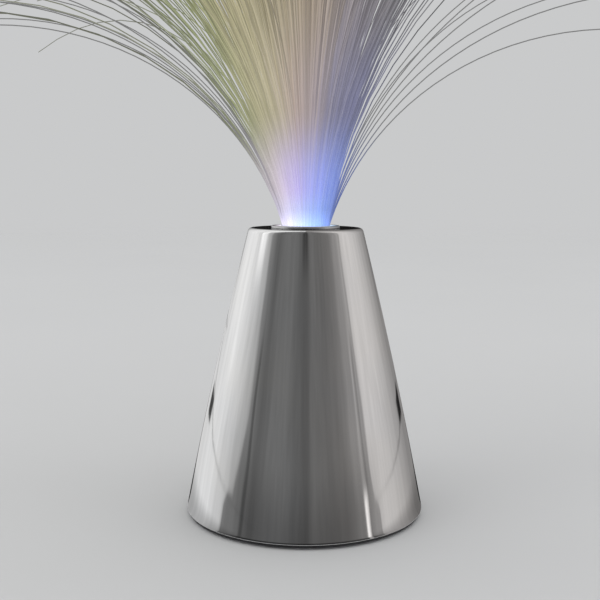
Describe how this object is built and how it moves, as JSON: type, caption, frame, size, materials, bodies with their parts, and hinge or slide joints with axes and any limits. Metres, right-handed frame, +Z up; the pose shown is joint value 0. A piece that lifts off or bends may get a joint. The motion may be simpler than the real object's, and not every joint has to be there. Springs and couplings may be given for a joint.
{
  "type": "fiber optic lamp",
  "caption": "Battery fibre optic lamp: a chromed conical shell on a black base plate, with a plug-in head whose fine glowing fibres fan out and droop into a wide spray.",
  "frame": {"origin": "on the table, under the shell's axis, at the underside of the rubber feet", "axes": "+Z up along the shell's axis; +X to the right seen from the front, where the switch is under the base; +Y away from the front"},
  "size_m": [0.3866, 0.3866, 0.3265],
  "materials": {
    "chrome_shell": "mirror-bright chrome plating on a moulded shell",
    "base_plate": "fine matt moulded black",
    "rubber_feet": "matt",
    "screws": "zinc plated",
    "aa_cells": "plain wrapped cell",
    "contacts": "nickel plated spring steel",
    "switch_body": "folded tinned can",
    "switch_knob": "ribbed moulding",
    "battery_door": "fine matt moulded black",
    "lead_red": "soft insulation",
    "lead_black": "soft insulation",
    "lead_switch": "soft insulation",
    "led_board": "solder resist",
    "rgb_leds": "water-clear epoxy",
    "driver_chip": "moulded package",
    "board_resistors": "ceramic chip",
    "socket_tube": "white moulding",
    "ferrule": "mirror-bright chrome plating",
    "bundle_core": "potted and polished fibre ends",
    "optical_fibre": "clear acrylic filament, lit from below"
  },
  "bodies": {
    "base": {"chrome_shell": "chrome_shell", "base_plate": "base_plate", "rubber_feet": "rubber_feet", "base_screws": "screws", "aa_cells": "aa_cells", "contact_positive": "contacts", "contact_negative": "contacts", "bridge_contacts": "contacts", "switch_body": "switch_body", "lead_red": "lead_red", "lead_black": "lead_black", "lead_switch": "lead_switch", "led_board": "led_board", "rgb_leds": "rgb_leds", "driver_chip": "driver_chip", "board_resistors": "board_resistors", "socket_tube": "socket_tube"},
    "door": {"battery_door": "battery_door"},
    "knob": {"switch_knob": "switch_knob"},
    "fibre_head": {"ferrule": "ferrule", "bundle_core": "bundle_core", "fibre_centre": "optical_fibre", "fibre_ring_1": "optical_fibre", "fibre_ring_2": "optical_fibre", "fibre_ring_3": "optical_fibre", "fibre_ring_4": "optical_fibre", "fibre_ring_5": "optical_fibre", "fibre_ring_6": "optical_fibre", "fibre_ring_7": "optical_fibre", "fibre_ring_8": "optical_fibre"}
  },
  "joints": [
    {"name": "door_hinge", "type": "hinge", "parent": "base", "child": "door", "pos_m": [0, -0.029, 0.0008], "axis": [1, 0, 0], "range_deg": [-100, 0]},
    {"name": "switch_slide", "type": "slide", "parent": "base", "child": "knob", "axis": [0, 1, 0], "range_m": [-0.0035, 0]},
    {"name": "head_lift", "type": "slide", "parent": "base", "child": "fibre_head", "axis": [0, 0, 1], "range_m": [0, 0.03]}
  ]
}
